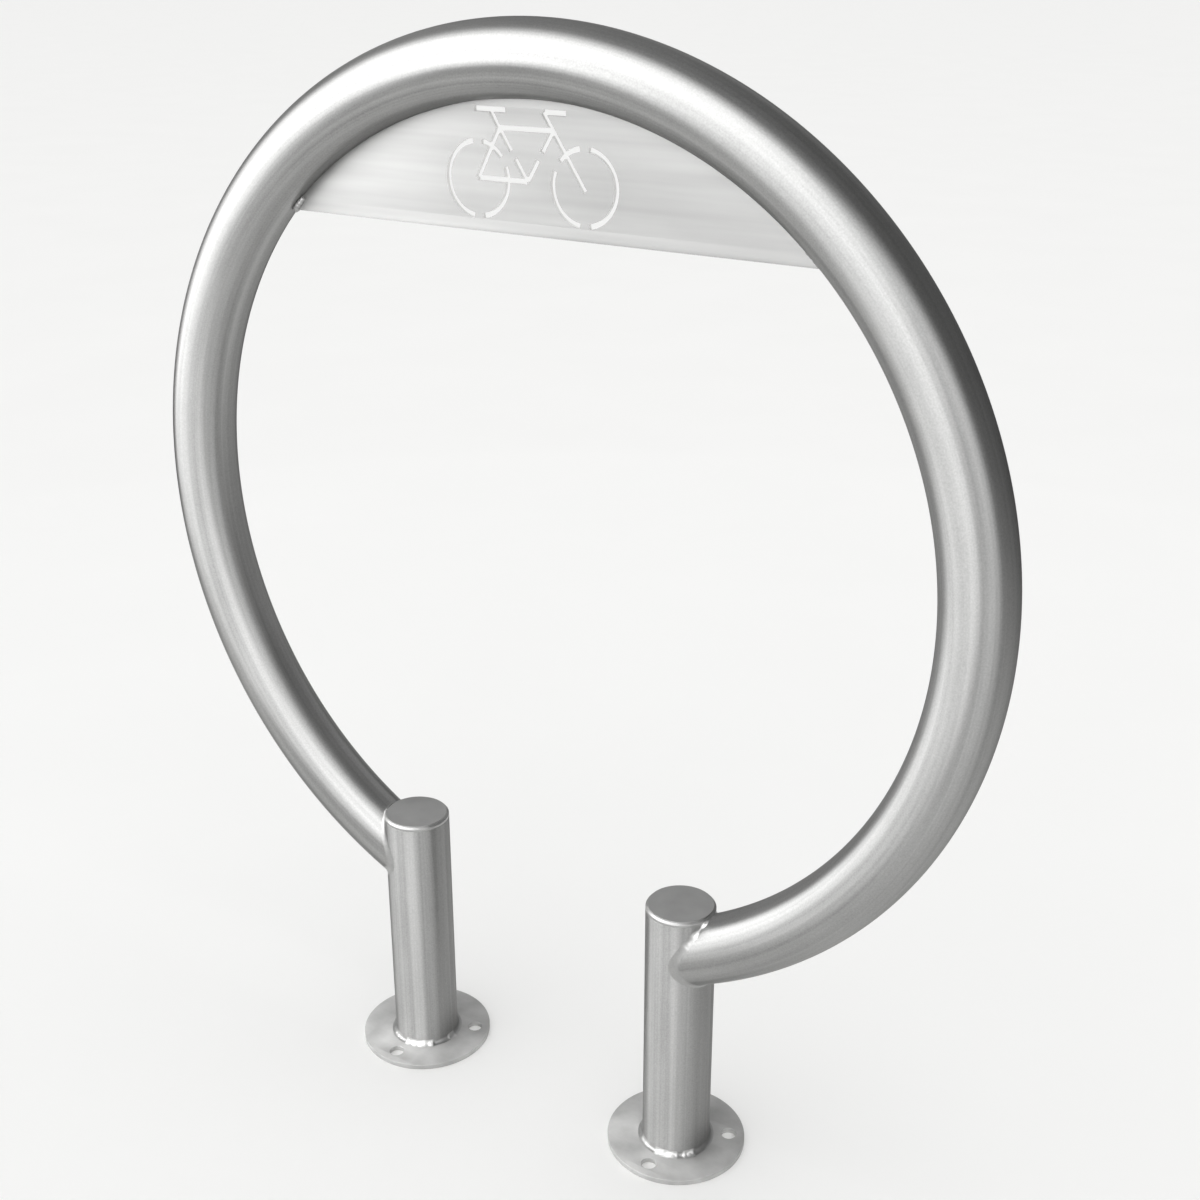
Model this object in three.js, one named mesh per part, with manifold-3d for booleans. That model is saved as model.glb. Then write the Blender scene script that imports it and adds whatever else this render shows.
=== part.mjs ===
// Hoop bike rack: a loop of round steel tube, welded at its two ends to short capped posts on
// bolt-down flanges. A plate fills the top of the loop and has a bicycle cut through it.
// Millimetres, +Z up. The loop stands in the XZ plane and the origin is on the ground, midway
// between the posts. Left and right are as seen from the front, which is the -Y side.
import * as THREE from 'three';
import { mergeVertices } from 'three/addons/utils/BufferGeometryUtils.js';
import Module from 'manifold-3d';

// Tube stock: the loop's tube, the wider tube of the posts, and the wall of both
const tubeDiameter = 60.3;
const postDiameter = 63.5;
const tubeWall = 3;

// Loop
const overallHeight = 1000;
const hoopDiameter = 850;

// Posts, caps and flanges
const postSpacing = 300;
const capRise = 2.1;
const capDiameter = 59.4;
const capThickness = 5;
const capEdgeChamfer = 0.6;
const flangeDiameter = 130;
const flangeThickness = 5;
const boltEdgeDistance = 15;
const boltHoleDiameter = 14;
const boltCount = 3;
const firstBoltAngle = -Math.PI / 2;

// Plate and the margins round the bicycle in it
const plateDepth = 105;
const plateThickness = 3;
const signLowerMargin = 9.7;
const signUpperMargin = 7.3;

// Welds
const footWeldLeg = 6;
const saddleBeadRadius = 3.2;
const plateWeldLength = 18;
const plateWeldRadius = 4;
const weldBulge = 0.58;

// Clearance kept between neighbouring solids
const gap = 0.3;

// How finely round forms are divided
const tubeSides = 24;
const hoopSteps = 42;
const flangeSides = 48;
const holeSides = 16;
const beadSides = 8;
const beadSteps = 16;
const signArcStep = Math.PI / 15;

// Sizes that follow from the ones above
const tubeRadius = tubeDiameter / 2;
const boreRadius = tubeRadius - tubeWall;
const postRadius = postDiameter / 2;
const postBoreRadius = postRadius - tubeWall;
const hoopRadius = (hoopDiameter - tubeDiameter) / 2;
const hoopHeight = overallHeight - hoopDiameter / 2;
const hoopInnerRadius = hoopRadius - tubeRadius;
const postX = postSpacing / 2;
const hoopEndAngle = Math.PI - Math.asin(postX / hoopRadius);
const jointTopHeight = hoopHeight - Math.sqrt(hoopInnerRadius ** 2 - (postX + postRadius) ** 2);
const capTopHeight = jointTopHeight + capRise;
const postTopHeight = capTopHeight - capThickness;
const boltCircleRadius = flangeDiameter / 2 - boltEdgeDistance;
const plateTopHeight = hoopHeight + hoopInnerRadius - gap;
const plateEdgeHeight = hoopHeight + hoopInnerRadius - plateDepth;

const steel = (colour, roughness) =>
  new THREE.MeshStandardMaterial({ color: colour, roughness, metalness: 1 });

const satinSteel = () => steel(0xb8b8b6, 0.32);
const plateSteel = () => steel(0xd4d4d2, 0.28);
const weldSteel = () => steel(0xc8c8c6, 0.4);

const wasm = await Module();
wasm.setup();

// A closed mesh as a solid that can be cut or joined
function solidOf(geometry) {
  const bare = geometry.index ? geometry.clone() : geometry;
  bare.deleteAttribute('normal');
  bare.deleteAttribute('uv');
  const merged = mergeVertices(bare);
  return new wasm.Manifold(new wasm.Mesh({
    numProp: 3,
    vertProperties: new Float32Array(merged.attributes.position.array),
    triVerts: new Uint32Array(merged.index.array),
  }));
}

function geometryOf(solid) {
  const mesh = solid.getMesh();
  const geometry = new THREE.BufferGeometry();
  geometry.setAttribute('position', new THREE.BufferAttribute(mesh.vertProperties, 3));
  geometry.setIndex(new THREE.BufferAttribute(mesh.triVerts, 1));
  geometry.computeVertexNormals();
  return geometry;
}

function circlePoints(radius, sides, x = 0, y = 0) {
  return Array.from({ length: sides }, (_, i) => {
    const angle = (2 * Math.PI * i) / sides;
    return new THREE.Vector2(x + radius * Math.cos(angle), y + radius * Math.sin(angle));
  });
}

const disc = (radius, sides) => new THREE.Shape(circlePoints(radius, sides));

// Turns a profile of [radius, height] corners, listed anticlockwise, about the Z axis
function turned(profile) {
  const corners = profile.map(([radius, height]) => new THREE.Vector2(radius, height));
  const touchesAxis = profile[0][0] === 0;
  if (!touchesAxis) corners.push(corners[0].clone());
  return new THREE.LatheGeometry(corners, tubeSides).rotateX(Math.PI / 2);
}

// A shape drawn in X and Z, given a thickness about the loop's own plane
function upright(shape, thickness) {
  const geometry = new THREE.ExtrudeGeometry(shape, { depth: thickness, bevelEnabled: false });
  return geometry.rotateX(Math.PI / 2).translate(0, thickness / 2, 0);
}

// The loop's centreline, from the left post's axis over the top to the right post's axis
class HoopCurve extends THREE.Curve {
  getPoint(t, target = new THREE.Vector3()) {
    const angle = hoopEndAngle * (2 * t - 1);
    return target.set(hoopRadius * Math.sin(angle), 0, hoopHeight + hoopRadius * Math.cos(angle));
  }
}

function alongHoop(section) {
  return new THREE.ExtrudeGeometry(section, {
    steps: hoopSteps,
    extrudePath: new HoopCurve(),
    bevelEnabled: false,
  });
}

// The line where the loop's outside meets a post's outside. Angle 0 is under the tube.
class SaddleCurve extends THREE.Curve {
  constructor(side, startAngle, endAngle) {
    super();
    Object.assign(this, { side, startAngle, endAngle });
  }

  getPoint(t, target = new THREE.Vector3()) {
    const angle = this.startAngle + (this.endAngle - this.startAngle) * t;
    const y = tubeRadius * Math.sin(angle);
    const reach = postX + Math.sqrt(postRadius ** 2 - y ** 2);
    const ring = hoopRadius + tubeRadius * Math.cos(angle);
    const height = hoopHeight - Math.sqrt(ring ** 2 - reach ** 2);
    return target.set(this.side * reach, y, height);
  }
}

// A post's outside, made larger by the gap and carried up to the middle of the loop, that cuts
// whatever is fitted to the post
function postCutter(side) {
  const radius = postRadius + gap;
  const top = hoopHeight;
  return solidOf(turned([[0, 0], [radius, 0], [radius, top], [0, top]]).translate(side * postX, 0, 0));
}

const hoopCutter = solidOf(alongHoop(disc(tubeRadius + gap, tubeSides)));

function hoopTube() {
  const section = disc(tubeRadius, tubeSides);
  section.holes.push(new THREE.Path(circlePoints(boreRadius, tubeSides)));
  const tube = solidOf(alongHoop(section));
  return geometryOf(tube.subtract(postCutter(-1)).subtract(postCutter(1)));
}

function post() {
  const bottom = flangeThickness + gap;
  return turned([
    [postBoreRadius, bottom],
    [postRadius, bottom],
    [postRadius, postTopHeight],
    [postBoreRadius, postTopHeight],
  ]);
}

function cap() {
  const radius = capDiameter / 2;
  const bottom = postTopHeight + gap;
  return turned([
    [0, bottom],
    [radius, bottom],
    [radius, capTopHeight - capEdgeChamfer],
    [radius - capEdgeChamfer, capTopHeight],
    [0, capTopHeight],
  ]);
}

// Ring of weld on the post's rim, sloping up to the cap's side
function capWeld() {
  const inner = capDiameter / 2 + gap;
  const bottom = postTopHeight + gap;
  const width = postRadius - inner;
  const height = capThickness - gap - 2 * capEdgeChamfer;
  return turned([
    [inner, bottom],
    [postRadius, bottom],
    [inner + weldBulge * width, bottom + weldBulge * height],
    [inner, bottom + height],
  ]);
}

function flange() {
  const shape = disc(flangeDiameter / 2, flangeSides);
  for (let i = 0; i < boltCount; i += 1) {
    const angle = firstBoltAngle + (2 * Math.PI * i) / boltCount;
    const x = boltCircleRadius * Math.cos(angle);
    const y = boltCircleRadius * Math.sin(angle);
    shape.holes.push(new THREE.Path(circlePoints(boltHoleDiameter / 2, holeSides, x, y)));
  }
  return new THREE.ExtrudeGeometry(shape, { depth: flangeThickness, bevelEnabled: false });
}

// Fillet of weld round a post's foot
function footWeld() {
  const inner = postRadius + gap;
  const bottom = flangeThickness + gap;
  return turned([
    [inner, bottom],
    [inner + footWeldLeg, bottom],
    [inner + weldBulge * footWeldLeg, bottom + weldBulge * footWeldLeg],
    [inner, bottom + footWeldLeg],
  ]);
}

// Bead of weld all round the joint of the loop and a post, in two halves that meet at its sides
function saddleWeld(side) {
  const quarter = Math.PI / 2;
  const section = disc(saddleBeadRadius, beadSides);
  const halves = [[-quarter, quarter], [quarter, 3 * quarter]].map(([from, to]) => {
    const extrudePath = new SaddleCurve(side, from, to);
    return solidOf(new THREE.ExtrudeGeometry(section, {
      steps: beadSteps,
      extrudePath,
      bevelEnabled: false,
    }));
  });
  const corners = [-quarter, quarter].map((angle) => {
    const place = new SaddleCurve(side, angle, angle).getPoint(0);
    const ball = new THREE.SphereGeometry(saddleBeadRadius, beadSides, beadSides / 2);
    return solidOf(ball.translate(place.x, place.y, place.z));
  });
  const bead = halves[0].add(halves[1]).add(corners[0]).add(corners[1]);
  return geometryOf(bead.subtract(hoopCutter).subtract(postCutter(side)));
}

// The bicycle, drawn in X and Z from the point midway between its wheels' centres
const bicycle = {
  stroke: 4.2,
  wheelRadius: 29.5,
  wheelX: 51,
  wheelBridge: 8.5,
  innerBridgeAngle: Math.PI / 6,
  tubeBridge: 7.2,
  saddle: [[-53, 54.3], [-22.8, 54.3]],
  saddleStem: [-38, 54.3],
  seat: [-29.5, 40.6],
  bracket: [-3, 0.8],
  rearAxle: [-51, 0.8],
  head: [21.8, 41],
  stemTop: [12.8, 54.5],
  frontAxle: [51.5, -3],
  handlebarEnd: [34.4, 54.5],
};
const bicycleHeight = bicycle.saddle[0][1] + bicycle.wheelRadius + bicycle.stroke;
const signScale = (plateDepth - signLowerMargin - signUpperMargin) / bicycleHeight;
const signHeight = plateEdgeHeight + signLowerMargin
  + signScale * (bicycle.wheelRadius + bicycle.stroke / 2);

// A straight stroke from one point of the drawing to another
function bar(from, to) {
  const [dx, dy] = [to[0] - from[0], to[1] - from[1]];
  const length = Math.hypot(dx, dy);
  const box = new THREE.BoxGeometry(length, 2 * plateThickness, bicycle.stroke);
  box.rotateY(-Math.atan2(dy, dx));
  box.translate((from[0] + to[0]) / 2, 0, (from[1] + to[1]) / 2);
  return solidOf(box);
}

// Two strokes in one line, parted at the middle by a bridge that holds the plate together
function bridgedBar(from, to) {
  const length = Math.hypot(to[0] - from[0], to[1] - from[1]);
  const at = (share) => [0, 1].map((k) => from[k] + share * (to[k] - from[k]));
  const half = bicycle.tubeBridge / 2 / length;
  return bar(from, at(0.5 - half)).add(bar(at(0.5 + half), to));
}

// Part of a wheel between two angles, left short by half a bridge at each end
function wheelArc(centreX, from, to) {
  const outer = bicycle.wheelRadius + bicycle.stroke / 2;
  const inner = bicycle.wheelRadius - bicycle.stroke / 2;
  const short = bicycle.wheelBridge / 2 / bicycle.wheelRadius;
  const [start, end] = [from + short, to - short];
  const steps = Math.ceil((end - start) / signArcStep);
  const along = (radius) => Array.from({ length: steps + 1 }, (_, i) => {
    const angle = start + ((end - start) * i) / steps;
    return new THREE.Vector2(centreX + radius * Math.cos(angle), radius * Math.sin(angle));
  });
  const shape = new THREE.Shape([...along(outer), ...along(inner).reverse()]);
  return solidOf(upright(shape, 2 * plateThickness));
}

// A wheel, bridged at its top, at its foot and on the side that faces the other wheel
function wheel(side) {
  const centreX = side * bicycle.wheelX;
  const top = Math.PI / 2;
  const foot = 3 * Math.PI / 2;
  const inward = side > 0 ? Math.PI - bicycle.innerBridgeAngle : bicycle.innerBridgeAngle;
  const turns = side > 0
    ? [[top, inward], [inward, foot], [foot - 2 * Math.PI, top]]
    : [[top, foot], [foot - 2 * Math.PI, inward], [inward, top]];
  return turns.map(([from, to]) => wheelArc(centreX, from, to));
}

function bicycleCutter() {
  const b = bicycle;
  const strokes = [
    bar(...b.saddle),
    bar(b.saddleStem, b.seat),
    bar(b.seat, b.head),
    bar(b.stemTop, b.handlebarEnd),
    bar(b.stemTop, b.frontAxle),
    bar(b.seat, b.rearAxle),
    bar(b.rearAxle, b.bracket),
    bridgedBar(b.seat, b.bracket),
    bridgedBar(b.head, b.bracket),
    ...wheel(-1),
    ...wheel(1),
  ];
  const drawing = strokes.reduce((whole, stroke) => whole.add(stroke));
  return drawing.scale([signScale, 1, signScale]).translate([0, 0, signHeight]);
}

// The plate's outline reaches into the tube, and a square-sided copy of the loop trims it
function signPlate() {
  const halfWidth = Math.sqrt(hoopRadius ** 2 - (plateEdgeHeight - hoopHeight) ** 2);
  const cornerAngle = Math.atan2(plateEdgeHeight - hoopHeight, halfWidth);
  const outline = new THREE.Shape();
  outline.absarc(0, hoopHeight, hoopRadius, cornerAngle, Math.PI - cornerAngle);
  const reach = tubeRadius + gap;
  const square = new THREE.Shape([[-1, -1], [1, -1], [1, 1], [-1, 1]].map(
    ([x, y]) => new THREE.Vector2(x * reach, y * reach),
  ));
  const blank = solidOf(upright(outline, plateThickness)).subtract(solidOf(alongHoop(square)));
  return geometryOf(blank.subtract(bicycleCutter()));
}

// Short bead that wraps the plate's corner and ties it to the tube
function plateWeld(side) {
  const drop = plateEdgeHeight - hoopHeight;
  const cornerX = Math.sqrt(hoopInnerRadius ** 2 - drop ** 2);
  const lump = new THREE.SphereGeometry(1, 2 * beadSides, beadSides);
  lump.scale(plateWeldLength / 2, plateWeldRadius, plateWeldRadius);
  lump.rotateY(side * Math.atan2(cornerX, drop));
  lump.translate(side * cornerX, 0, plateEdgeHeight);
  const depth = plateTopHeight - plateEdgeHeight + gap;
  const plateBox = new THREE.BoxGeometry(hoopDiameter, plateThickness + 2 * gap, depth);
  plateBox.translate(0, 0, plateEdgeHeight - gap + depth / 2);
  return geometryOf(solidOf(lump).subtract(hoopCutter).subtract(solidOf(plateBox)));
}

function named(name, geometry, material) {
  const mesh = new THREE.Mesh(geometry, material);
  mesh.name = name;
  return mesh;
}

// One post with all that is fixed to it, standing on its own axis
function postGroup(sideName, side) {
  const group = new THREE.Group();
  group.position.x = side * postX;
  group.add(
    named(`${sideName}_post`, post(), satinSteel()),
    named(`${sideName}_cap`, cap(), satinSteel()),
    named(`${sideName}_cap_weld`, capWeld(), weldSteel()),
    named(`${sideName}_flange`, flange(), satinSteel()),
    named(`${sideName}_foot_weld`, footWeld(), weldSteel()),
  );
  return group;
}

const rack = new THREE.Group();
rack.add(named('hoop_tube', hoopTube(), satinSteel()));
rack.add(named('sign_plate', signPlate(), plateSteel()));
for (const [sideName, side] of [['left', -1], ['right', 1]]) {
  rack.add(postGroup(sideName, side));
  rack.add(named(`${sideName}_saddle_weld`, saddleWeld(side), weldSteel()));
  rack.add(named(`${sideName}_plate_weld`, plateWeld(side), weldSteel()));
}

export default rack;
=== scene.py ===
import math

import bmesh
import bpy
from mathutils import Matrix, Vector


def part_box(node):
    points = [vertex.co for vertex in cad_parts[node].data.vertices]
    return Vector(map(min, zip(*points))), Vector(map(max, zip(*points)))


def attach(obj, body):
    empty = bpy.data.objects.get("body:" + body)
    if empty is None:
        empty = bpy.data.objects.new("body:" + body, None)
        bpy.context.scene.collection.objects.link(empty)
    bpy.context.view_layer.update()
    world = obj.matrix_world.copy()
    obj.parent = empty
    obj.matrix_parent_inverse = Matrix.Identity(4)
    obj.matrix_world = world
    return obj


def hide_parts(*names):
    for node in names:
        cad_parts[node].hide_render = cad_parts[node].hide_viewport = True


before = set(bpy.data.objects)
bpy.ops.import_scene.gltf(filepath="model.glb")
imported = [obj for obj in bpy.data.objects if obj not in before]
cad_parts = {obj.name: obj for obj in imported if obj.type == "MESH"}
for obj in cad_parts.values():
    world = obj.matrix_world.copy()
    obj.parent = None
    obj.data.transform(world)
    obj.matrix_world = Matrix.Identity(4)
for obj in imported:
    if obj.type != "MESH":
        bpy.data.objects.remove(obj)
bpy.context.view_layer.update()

MM = 0.001
TURN = 2 * math.pi

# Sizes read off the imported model, in metres
_, hoop_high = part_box("hoop_tube")
post_low, post_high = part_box("right_post")
cap_low, cap_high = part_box("right_cap")
flange_low, flange_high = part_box("right_flange")
plate_low, plate_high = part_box("sign_plate")

tube_radius = hoop_high.y
post_radius = (post_high.x - post_low.x) / 2
hoop_radius = hoop_high.x - tube_radius
hoop_height = hoop_high.z - hoop_high.x
post_x = (post_high.x + post_low.x) / 2
cap_radius = (cap_high.x - cap_low.x) / 2
flange_radius = (flange_high.x - flange_low.x) / 2
flange_top = flange_high.z
plate_thickness = plate_high.y - plate_low.y

# Sizes that the boxes don't show, in metres, and the bolt holes' number and first angle
tube_wall = 3 * MM
fit_gap = 0.1 * MM
bolt_edge_distance = 15 * MM
bolt_hole_radius = 7 * MM
bolt_count = 3
first_bolt_angle = -math.pi / 2
sheet_edge = 0.35 * MM
plate_edge = 0.2 * MM
rim_round = 0.6 * MM
weld_lift = 0.05 * MM
merge_distance = 0.001 * MM

# How finely round shapes are cut up
LOOP_STEPS = 320
LOOP_SIDES = 80
POST_SIDES = 96
CAP_WELD_SIDES = 240
FLANGE_SIDES = 160
HOLE_SIDES = 40
PLATE_HALF_ARC_STEPS = 60
WHEEL_STEP_DEGREES = 4
ROUNDING_STEPS = 4
FOOT_WELD_STATIONS = 280
SADDLE_WELD_STATIONS = 300
FILLET_STEPS = 12
BEAD_SIDES = 18
BEAD_HALF_STEPS = 8
STEPS_PER_RIPPLE = 9
TENT_SIDES = 64

# Edges that turn more than this stay sharp, in degrees
SHARP_CUT = 40
SHARP_TURNED = 28
SHARP_SHEET = 16
SHARP_WELD = 75

# The bicycle in the plate, in millimetres from the point midway between its wheels' centres
STROKE = 4.2
WHEEL_RADIUS = 29.5
WHEEL_X = 51
WHEEL_BRIDGE = 8.5
INNER_BRIDGE = math.pi / 6
TUBE_BRIDGE = 7.2
SIGN_LOWER_MARGIN = 9.7
SADDLE = ((-53, 54.3), (-22.8, 54.3))
SADDLE_STEM = (-38, 54.3)
SEAT = (-29.5, 40.6)
BRACKET = (-3, 0.8)
REAR_AXLE = (-51, 0.8)
HEAD = (21.8, 41)
STEM_TOP = (12.8, 54.5)
FRONT_AXLE = (51.5, -3)
HANDLEBAR_END = (34.4, 54.5)

# Camera, as the photograph was taken: place in metres, angles in degrees, lens and sensor in
# millimetres
CAMERA_PLACE = (0.7387, -1.0533, 1.0546)
CAMERA_YAW = 32.63
CAMERA_PITCH = -22.59
CAMERA_LENS = 47.74
CAMERA_SENSOR = 36

# The floor's size, in metres
FLOOR_HALF_WIDTH = 60

# The light tent's middle above the floor and its radius, in metres
TENT_HEIGHT = 0.6
TENT_RADIUS = 2.2
# How bright the tent is everywhere, and what its soft windows add: from and to in azimuth and in
# elevation, how far the soft edge reaches either way, all in degrees, and the brightness.
# Azimuth 0 is in front of the rack, 90 is to its right, and it wraps behind the rack at 180.
TENT_BASE = 0.18
TENT_WINDOWS = {
    "key": ((-84, 30), (-3, 75), 10, 2.8),
    "key's brighter side": ((-82, -42), (-3, 50), 14, 1.5),
    "right": ((46, 74), (2, 39), 18, 2.7),
    "far side": ((-190, -100), (5, 70), 12, 0.47),
    "far side, past the back": ((170, 260), (5, 70), 12, 0.47),
    "top": ((-400, 400), (70, 110), 8, 0.3),
}
# How bright the far floor renders, where 1 is white
HORIZON_TONE = 0.9

# The range that most noise lies in, and how much blue the greys have beside red and green
NOISE_RANGE = (0.3, 0.7)
BLUE_SHARE = 0.99


class Nodes:
    """Adds nodes to a tree and links them, with sums on sockets written as plain sums."""

    def __init__(self, tree):
        self.tree = tree

    def add(self, kind, **settings):
        node = self.tree.nodes.new(kind)
        for name, value in settings.items():
            setattr(node, name, value)
        return node

    def feed(self, socket, value):
        if isinstance(value, Sum):
            value = value.socket
        if isinstance(value, bpy.types.NodeSocket):
            self.tree.links.new(value, socket)
        else:
            socket.default_value = value

    def call(self, kind, inputs, output=0, **settings):
        """Adds a node, feeds its named or numbered inputs and gives one output back."""
        node = self.add(kind, **settings)
        for key, value in inputs.items():
            self.feed(node.inputs[key], value)
        return Sum(self, node.outputs[output])

    def math(self, operation, *values):
        node = self.add("ShaderNodeMath", operation=operation)
        for socket, value in zip(node.inputs, values):
            self.feed(socket, value)
        return Sum(self, node.outputs[0])

    def vector(self, x, y, z):
        return self.call("ShaderNodeCombineXYZ", {"X": x, "Y": y, "Z": z})


class Sum:
    """A socket that can be added, multiplied and so on."""

    def __init__(self, nodes, socket):
        self.nodes = nodes
        self.socket = socket

    def __add__(self, other):
        return self.nodes.math("ADD", self, other)

    def __sub__(self, other):
        return self.nodes.math("SUBTRACT", self, other)

    def __rsub__(self, other):
        return self.nodes.math("SUBTRACT", other, self)

    def __mul__(self, other):
        return self.nodes.math("MULTIPLY", self, other)

    def __truediv__(self, other):
        return self.nodes.math("DIVIDE", self, other)

    __rmul__ = __mul__

    def of(self, operation, *others):
        return self.nodes.math(operation, self, *others)


# Geometry node trees

def new_tree(name, inputs):
    """A geometry tree with named inputs, and its input and output nodes."""
    tree = bpy.data.node_groups.new(name, "GeometryNodeTree")
    tree.interface.new_socket("Geometry", in_out="OUTPUT", socket_type="NodeSocketGeometry")
    tree.interface.new_socket("Geometry", in_out="INPUT", socket_type="NodeSocketGeometry")
    for label, kind in inputs.items():
        tree.interface.new_socket(label, in_out="INPUT", socket_type="NodeSocket" + kind)
    nodes = Nodes(tree)
    entry = nodes.add("NodeGroupInput")
    sizes = {label: Sum(nodes, entry.outputs[label]) for label in inputs}
    return nodes, Sum(nodes, entry.outputs["Geometry"]), sizes


def end_tree(nodes, geometry, material):
    """Realizes instances, sets the material and closes the tree."""
    real = nodes.call("GeometryNodeRealizeInstances", {"Geometry": geometry})
    painted = nodes.call("GeometryNodeSetMaterial", {"Geometry": real, "Material": material})
    nodes.feed(nodes.add("NodeGroupOutput").inputs["Geometry"], painted)
    return nodes.tree


def grown(tree, name, base, **sizes):
    """Runs a tree on a base mesh and gives the result as a plain mesh object."""
    seedling = bpy.data.objects.new(name + "_base", base)
    bpy.context.scene.collection.objects.link(seedling)
    modifier = seedling.modifiers.new("tree", "NODES")
    modifier.node_group = tree
    for item in tree.interface.items_tree:
        if item.in_out == "INPUT" and item.name in sizes:
            modifier[item.identifier] = sizes[item.name]
    result = plain_mesh(seedling)
    bpy.data.objects.remove(seedling)
    return placed(name, result)


def plain_mesh(obj):
    """An object's mesh with its modifiers worked in."""
    depsgraph = bpy.context.evaluated_depsgraph_get()
    return bpy.data.meshes.new_from_object(obj.evaluated_get(depsgraph), depsgraph=depsgraph)


def placed(name, mesh):
    obj = bpy.data.objects.new(name, mesh)
    bpy.context.scene.collection.objects.link(obj)
    return obj


def bent_tube_tree():
    """The loop: a tube round a circle whose two ends are cut to fit round the posts.

    The grid's first direction runs along the outside from end to end and back along the bore,
    and its second runs round the tube.
    """
    nodes, _, size = new_tree("bent_tube", {
        "Loop Radius": "Float", "Tube Radius": "Float", "Wall": "Float", "Loop Height": "Float",
        "Post Offset": "Float", "Post Radius": "Float", "Steps": "Int", "Sides": "Int",
        "Material": "Material",
    })
    steps = size["Steps"]
    columns = steps * 2 + 3
    grid = nodes.add("GeometryNodeMeshGrid")
    nodes.feed(grid.inputs["Vertices X"], columns)
    nodes.feed(grid.inputs["Vertices Y"], size["Sides"] + 1)
    uv = nodes.call("ShaderNodeSeparateXYZ", {0: grid.outputs["UV Map"]})
    uv_y = Sum(nodes, uv.socket.node.outputs["Y"])
    column = (uv * (columns - 1)).of("ROUND")
    in_bore = column.of("GREATER_THAN", steps + 0.5) * column.of("LESS_THAN", columns - 1.5)
    back = (columns - 2 - column) * in_bore
    last = column.of("GREATER_THAN", columns - 1.5)
    forth = column * (1 - in_bore) * (1 - last)
    along = (back + forth) / steps
    radius = size["Tube Radius"] - size["Wall"] * in_bore
    angle = uv_y * TURN
    side = radius * angle.of("SINE")
    out = radius * angle.of("COSINE")
    ring = size["Loop Radius"] + out
    post = size["Post Radius"]
    reach = size["Post Offset"] + (post * post - side * side).of("SQRT")
    end_angle = math.pi - (reach / ring).of("ARCSINE")
    turn = (along * 2 - 1) * end_angle
    place = nodes.vector(
        ring * turn.of("SINE"), side, size["Loop Height"] + ring * turn.of("COSINE"))
    length = turn * size["Loop Radius"]
    straight = nodes.vector(length, out, side)
    unrolled = nodes.vector(length, angle * size["Tube Radius"], 0.0)
    shaped = store(nodes, grid.outputs["Mesh"], "UVMap", "FLOAT2", "CORNER", unrolled)
    shaped = store(nodes, shaped, "straight", "FLOAT_VECTOR", "POINT", straight)
    shaped = nodes.call("GeometryNodeSetPosition", {"Geometry": shaped, "Position": place})
    closed = nodes.call(
        "GeometryNodeMergeByDistance", {"Geometry": shaped, "Distance": 10 * merge_distance})
    smooth = nodes.call("GeometryNodeSetShadeSmooth", {"Geometry": closed})
    return end_tree(nodes, smooth, size["Material"])


def store(nodes, geometry, name, kind, domain, value):
    """Keeps a field on the mesh under a name that the materials read."""
    node = nodes.add("GeometryNodeStoreNamedAttribute", data_type=kind, domain=domain)
    nodes.feed(node.inputs["Geometry"], geometry)
    nodes.feed(node.inputs["Name"], name)
    nodes.feed(node.inputs["Value"], value)
    return Sum(nodes, node.outputs["Geometry"])


def weld_bead_tree():
    """A bead of weld along a path: overlapping crescent ripples with uneven height.

    The path's points hold lumps, from 0 where the bead is ground smooth to 1 where it is raw.
    Each ripple bows along the bead by a part of its length.
    """
    nodes, path, size = new_tree("weld_bead", {
        "Radius": "Float", "Pitch": "Float", "Ripple": "Float", "Wander": "Float",
        "Seed": "Float", "Material": "Material",
    })
    bow = 0.35
    ripple_middle = 0.6
    lumps_per_metre = 150.0
    curve = nodes.call("GeometryNodeMeshToCurve", {"Mesh": path})
    resampled = nodes.call(
        "GeometryNodeResampleCurve", {"Curve": curve, "Length": size["Pitch"] / STEPS_PER_RIPPLE},
        mode="LENGTH")
    parameter = nodes.add("GeometryNodeSplineParameter")
    line = store(
        nodes, resampled, "bead_length", "FLOAT", "POINT", parameter.outputs["Length"])
    section = nodes.call("GeometryNodeCurvePrimitiveCircle", {"Resolution": BEAD_SIDES})
    nodes.feed(section.socket.node.inputs["Radius"], size["Radius"])
    round_parameter = nodes.add("GeometryNodeSplineParameter")
    profile = store(
        nodes, section, "bead_round", "FLOAT", "POINT", round_parameter.outputs["Factor"])
    body = nodes.call(
        "GeometryNodeCurveToMesh", {"Curve": line, "Profile Curve": profile, "Fill Caps": True})
    length = named(nodes, "bead_length")
    around = named(nodes, "bead_round")
    lumps = named(nodes, "lumps")
    phase = length / size["Pitch"] + bow * (around * TURN).of("COSINE")
    ripple = (phase * math.pi).of("SINE").of("ABSOLUTE") - ripple_middle
    uneven = (solid_noise(nodes, lumps_per_metre, size["Seed"]) - 0.5) * 2
    height = lumps * (size["Ripple"] * ripple + size["Wander"] * uneven)
    return end_tree(nodes, pushed_out(nodes, body, height), size["Material"])


def named(nodes, name):
    node = nodes.add("GeometryNodeInputNamedAttribute", data_type="FLOAT")
    node.inputs["Name"].default_value = name
    return Sum(nodes, node.outputs["Attribute"])


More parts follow.
